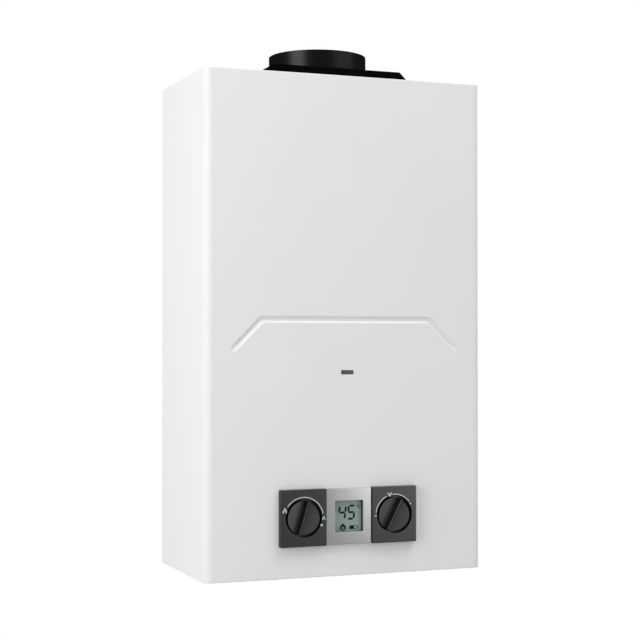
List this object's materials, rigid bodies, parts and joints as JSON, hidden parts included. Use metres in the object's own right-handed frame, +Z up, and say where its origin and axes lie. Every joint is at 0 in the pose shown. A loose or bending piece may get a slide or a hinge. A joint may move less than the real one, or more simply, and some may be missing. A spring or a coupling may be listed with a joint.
{
  "type": "tankless gas water heater",
  "caption": "Wall-hung open-flue gas water heater: white case with a flue collar on top, two turning knobs and a display on the front, threaded pipe stubs below.",
  "frame": {"origin": "middle of the four wall bolts on the wall plane, at the case's mid height", "axes": "+Z up, +Y into the wall, so the front faces -Y, +X to the right of someone who faces the front"},
  "size_m": [0.328, 0.1759, 0.6],
  "materials": {
    "white_enamel": "smooth white enamel, satin gloss",
    "galvanised_steel": "galvanised sheet",
    "zinc_screws": "zinc plated",
    "sight_glass": "smoked heat glass",
    "dark_plastic": "fine matt moulded plastic",
    "knob_plastic": "satin moulded plastic",
    "silver_plastic": "brushed silver film on plastic",
    "display_glass": "grey-green reflective liquid crystal",
    "circuit_board": "solder mask",
    "black_enamel": "matt black enamel",
    "bakelite": "moulded phenolic",
    "copper": "bright copper",
    "stainless_steel": "stainless steel",
    "cast_aluminium": "die cast",
    "brass": "machined brass",
    "ceramic": "white ceramic",
    "lead_rubber": "silicone sleeve",
    "solenoid_steel": "painted can",
    "valve_rubber": "nitrile rubber",
    "cell_jacket": "printed steel jacket, plain"
  },
  "bodies": {
    "casing": {"front_cover": "white_enamel", "back_plate": "galvanised_steel", "bottom_plate": "galvanised_steel", "stack_brackets": "galvanised_steel", "cover_screws": "zinc_screws", "panel_screws": "zinc_screws", "chassis_screws": "zinc_screws", "flange_screws": "zinc_screws", "collar_rivets": "zinc_screws", "sight_glass": "sight_glass", "panel_carrier": "dark_plastic", "gas_dial_plate": "dark_plastic", "water_dial_plate": "dark_plastic", "display_bezel": "silver_plastic", "display_glass": "display_glass", "display_board": "circuit_board", "draught_hood": "black_enamel", "flue_collar": "black_enamel", "spill_thermostat": "bakelite", "overheat_thermostat": "bakelite", "micro_switch": "bakelite", "ignition_box": "bakelite", "battery_case": "bakelite", "combustion_chamber": "copper", "heat_fins": "copper", "fin_tubes": "copper", "chamber_coil": "copper", "cold_riser": "copper", "hot_pipe": "copper", "burner_frame": "stainless_steel", "burner_bars": "stainless_steel", "electrode_bracket": "stainless_steel", "rod_spring": "stainless_steel", "battery_contacts": "stainless_steel", "gas_manifold": "cast_aluminium", "gas_valve_body": "cast_aluminium", "gas_riser": "cast_aluminium", "gas_injectors": "brass", "gas_inlet_stub": "brass", "water_valve_body": "brass", "diaphragm_cover": "brass", "drain_plug": "brass", "cold_inlet_stub": "brass", "hot_outlet_stub": "brass", "spark_electrode": "ceramic", "flame_probe": "ceramic", "spark_lead": "lead_rubber", "probe_lead": "lead_rubber", "gas_solenoid": "solenoid_steel", "diaphragm": "valve_rubber", "battery_cells": "cell_jacket"},
    "gas_knob": {"gas_knob": "knob_plastic", "gas_spindle": "brass"},
    "water_knob": {"water_knob": "knob_plastic", "water_spindle": "brass"},
    "battery_door": {"battery_door": "white_enamel"},
    "push_rod": {"push_rod": "stainless_steel", "gas_poppet": "valve_rubber"},
    "switch_lever": {"switch_lever": "stainless_steel"},
    "solenoid_plunger": {"solenoid_plunger": "stainless_steel"}
  },
  "joints": [
    {"name": "gas_knob_turn", "type": "hinge", "parent": "casing", "child": "gas_knob", "pos_m": [-0.0536, -0.1745, -0.2095], "axis": [0, -1, 0], "range_deg": [-94, 84]},
    {"name": "water_knob_turn", "type": "hinge", "parent": "casing", "child": "water_knob", "pos_m": [0.0536, -0.1745, -0.2095], "axis": [0, -1, 0], "range_deg": [-32, 120]},
    {"name": "battery_door_swing", "type": "hinge", "parent": "casing", "child": "battery_door", "pos_m": [0.1441, -0.11535, -0.2735], "axis": [0, -1, 0], "range_deg": [0, 100]},
    {"name": "push_rod_slide", "type": "slide", "parent": "casing", "child": "push_rod", "axis": [-1, 0, 0], "range_m": [0, 0.004], "stiffness_N_per_m": 250, "deforming": ["rod_spring"]},
    {"name": "switch_lever_swing", "type": "hinge", "parent": "casing", "child": "switch_lever", "pos_m": [0.0013, -0.07, -0.1815], "axis": [0, 1, 0], "range_deg": [0, 12.5]},
    {"name": "solenoid_plunge", "type": "slide", "parent": "casing", "child": "solenoid_plunger", "axis": [-1, 0, 0], "range_m": [0, 0.0025], "stiffness_N_per_m": 400}
  ],
  "couplings": [
    {"joint": "switch_lever_swing", "follows": "push_rod_slide", "rad_per_m": 50}
  ]
}
